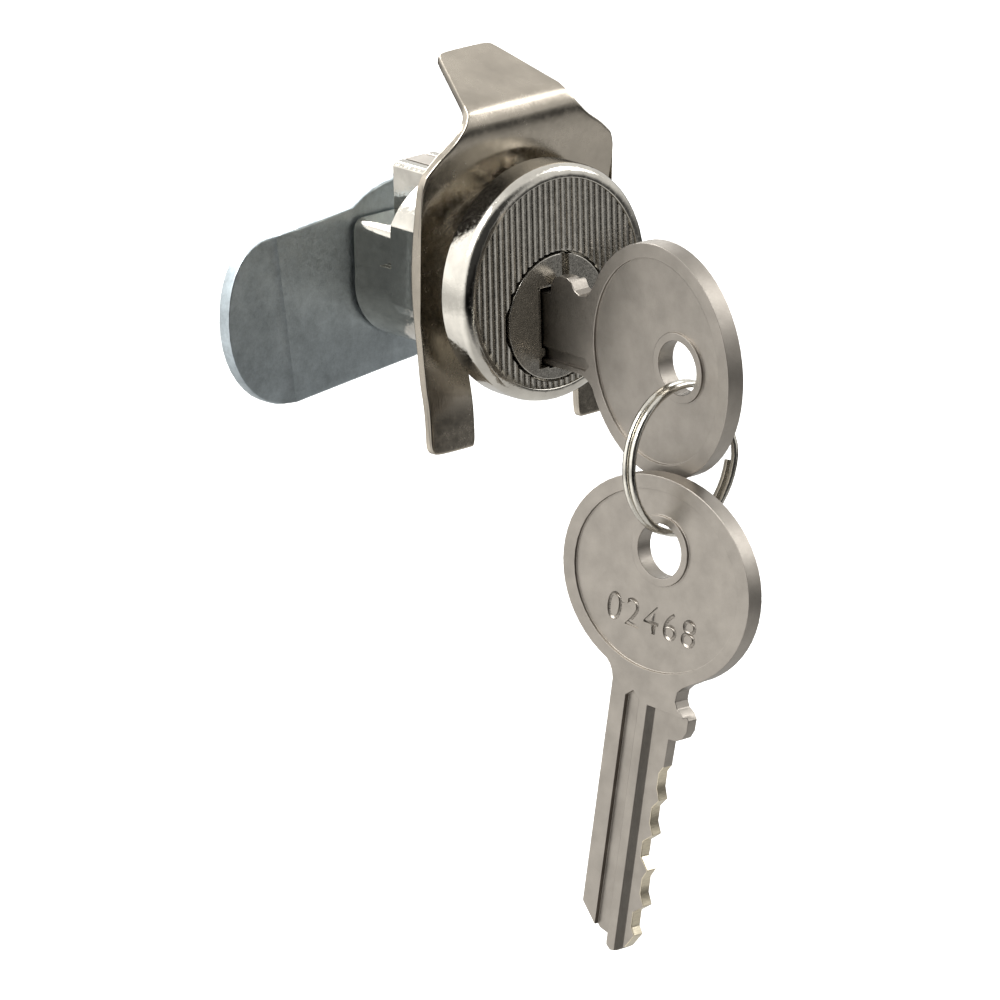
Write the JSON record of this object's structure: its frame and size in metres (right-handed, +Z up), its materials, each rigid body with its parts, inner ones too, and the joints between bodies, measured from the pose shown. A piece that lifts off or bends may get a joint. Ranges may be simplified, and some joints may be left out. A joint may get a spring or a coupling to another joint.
{
  "type": "cam lock",
  "caption": "Mailbox cam lock with round ribbed head, flat-sided body, turning plug and cam, horseshoe spring clip, and two round-bow keys on a split ring.",
  "frame": {"origin": "centre of the head's rear face, on the body axis, where the head seats on the panel", "axes": "+Y runs back through the panel along the body axis, +Z is up with the key's cuts upward, +X is to the right seen from the front"},
  "size_m": [0.0345, 0.0618, 0.0851],
  "materials": {
    "nickel_cast": "polished nickel plate on zinc die casting",
    "brass_plug": "nickel plated brass, satin cast face",
    "cover_strip": "plain rolled strip",
    "pin_brass": "turned brass",
    "spring_wire": "drawn spring wire",
    "zinc_steel": "bluish zinc plate on pressed steel",
    "clip_steel": "nickel plated spring steel, satin",
    "key_nickel": "satin nickel plate on brass",
    "ring_steel": "bright nickel plated wire"
  },
  "bodies": {
    "housing": {"lock_housing": "nickel_cast", "pin_chamber_cover": "cover_strip", "pin_spring_1": "spring_wire", "pin_spring_2": "spring_wire", "pin_spring_3": "spring_wire", "pin_spring_4": "spring_wire", "pin_spring_5": "spring_wire"},
    "plug": {"lock_plug": "brass_plug", "cam": "zinc_steel", "lock_washer": "zinc_steel", "cam_nut": "zinc_steel"},
    "clip": {"spring_clip": "clip_steel"},
    "key": {"key_in_lock": "key_nickel"},
    "ring": {"split_ring": "ring_steel"},
    "hanging_key": {"spare_key": "key_nickel"},
    "key_pin_1": {"key_pin_1": "pin_brass"},
    "driver_pin_1": {"driver_pin_1": "pin_brass"},
    "key_pin_2": {"key_pin_2": "pin_brass"},
    "driver_pin_2": {"driver_pin_2": "pin_brass"},
    "key_pin_3": {"key_pin_3": "pin_brass"},
    "driver_pin_3": {"driver_pin_3": "pin_brass"},
    "key_pin_4": {"key_pin_4": "pin_brass"},
    "driver_pin_4": {"driver_pin_4": "pin_brass"},
    "key_pin_5": {"key_pin_5": "pin_brass"},
    "driver_pin_5": {"driver_pin_5": "pin_brass"}
  },
  "joints": [
    {"name": "plug_turn", "type": "hinge", "parent": "housing", "child": "plug", "pos_m": [0, 0, -0.00335], "axis": [0, 1, 0], "range_deg": [0, 90]},
    {"name": "key_slide", "type": "slide", "parent": "plug", "child": "key", "axis": [0, -1, 0], "range_m": [0, 0.026], "deforming": ["key_pin_1", "key_pin_2", "key_pin_3", "key_pin_4", "key_pin_5"]},
    {"name": "ring_swing", "type": "hinge", "parent": "key", "child": "ring", "pos_m": [0, -0.02205, -0.00635], "axis": [1, 0, 0], "range_deg": [-80, 20]},
    {"name": "spare_key_swing", "type": "hinge", "parent": "ring", "child": "hanging_key", "pos_m": [-0.00327, -0.02284, -0.02061], "axis": [-0.9862, -0.1391, 0.0894], "range_deg": [-35, 35]},
    {"name": "clip_slide", "type": "slide", "parent": "housing", "child": "clip", "axis": [0, 0, 1], "range_m": [0, 0.022]},
    {"name": "key_pin_1_lift", "type": "slide", "parent": "plug", "child": "key_pin_1", "axis": [0, 0, 1], "range_m": [-0.00185, 0.00055], "stiffness_N_per_m": 60},
    {"name": "driver_pin_1_lift", "type": "slide", "parent": "housing", "child": "driver_pin_1", "axis": [0, 0, 1], "range_m": [-0.00185, 0.00055], "deforming": ["pin_spring_1"]},
    {"name": "key_pin_2_lift", "type": "slide", "parent": "plug", "child": "key_pin_2", "axis": [0, 0, 1], "range_m": [-0.00155, 0.00085], "stiffness_N_per_m": 60},
    {"name": "driver_pin_2_lift", "type": "slide", "parent": "housing", "child": "driver_pin_2", "axis": [0, 0, 1], "range_m": [-0.00155, 0.00085], "deforming": ["pin_spring_2"]},
    {"name": "key_pin_3_lift", "type": "slide", "parent": "plug", "child": "key_pin_3", "axis": [0, 0, 1], "range_m": [-0.001, 0.0014], "stiffness_N_per_m": 60},
    {"name": "driver_pin_3_lift", "type": "slide", "parent": "housing", "child": "driver_pin_3", "axis": [0, 0, 1], "range_m": [-0.001, 0.0014], "deforming": ["pin_spring_3"]},
    {"name": "key_pin_4_lift", "type": "slide", "parent": "plug", "child": "key_pin_4", "axis": [0, 0, 1], "range_m": [-0.00155, 0.00085], "stiffness_N_per_m": 60},
    {"name": "driver_pin_4_lift", "type": "slide", "parent": "housing", "child": "driver_pin_4", "axis": [0, 0, 1], "range_m": [-0.00155, 0.00085], "deforming": ["pin_spring_4"]},
    {"name": "key_pin_5_lift", "type": "slide", "parent": "plug", "child": "key_pin_5", "axis": [0, 0, 1], "range_m": [-0.001, 0.0014], "stiffness_N_per_m": 60},
    {"name": "driver_pin_5_lift", "type": "slide", "parent": "housing", "child": "driver_pin_5", "axis": [0, 0, 1], "range_m": [-0.001, 0.0014], "deforming": ["pin_spring_5"]}
  ],
  "couplings": [
    {"joint": "driver_pin_1_lift", "follows": "key_pin_1_lift", "ratio": 1},
    {"joint": "driver_pin_2_lift", "follows": "key_pin_2_lift", "ratio": 1},
    {"joint": "driver_pin_3_lift", "follows": "key_pin_3_lift", "ratio": 1},
    {"joint": "driver_pin_4_lift", "follows": "key_pin_4_lift", "ratio": 1},
    {"joint": "driver_pin_5_lift", "follows": "key_pin_5_lift", "ratio": 1}
  ]
}
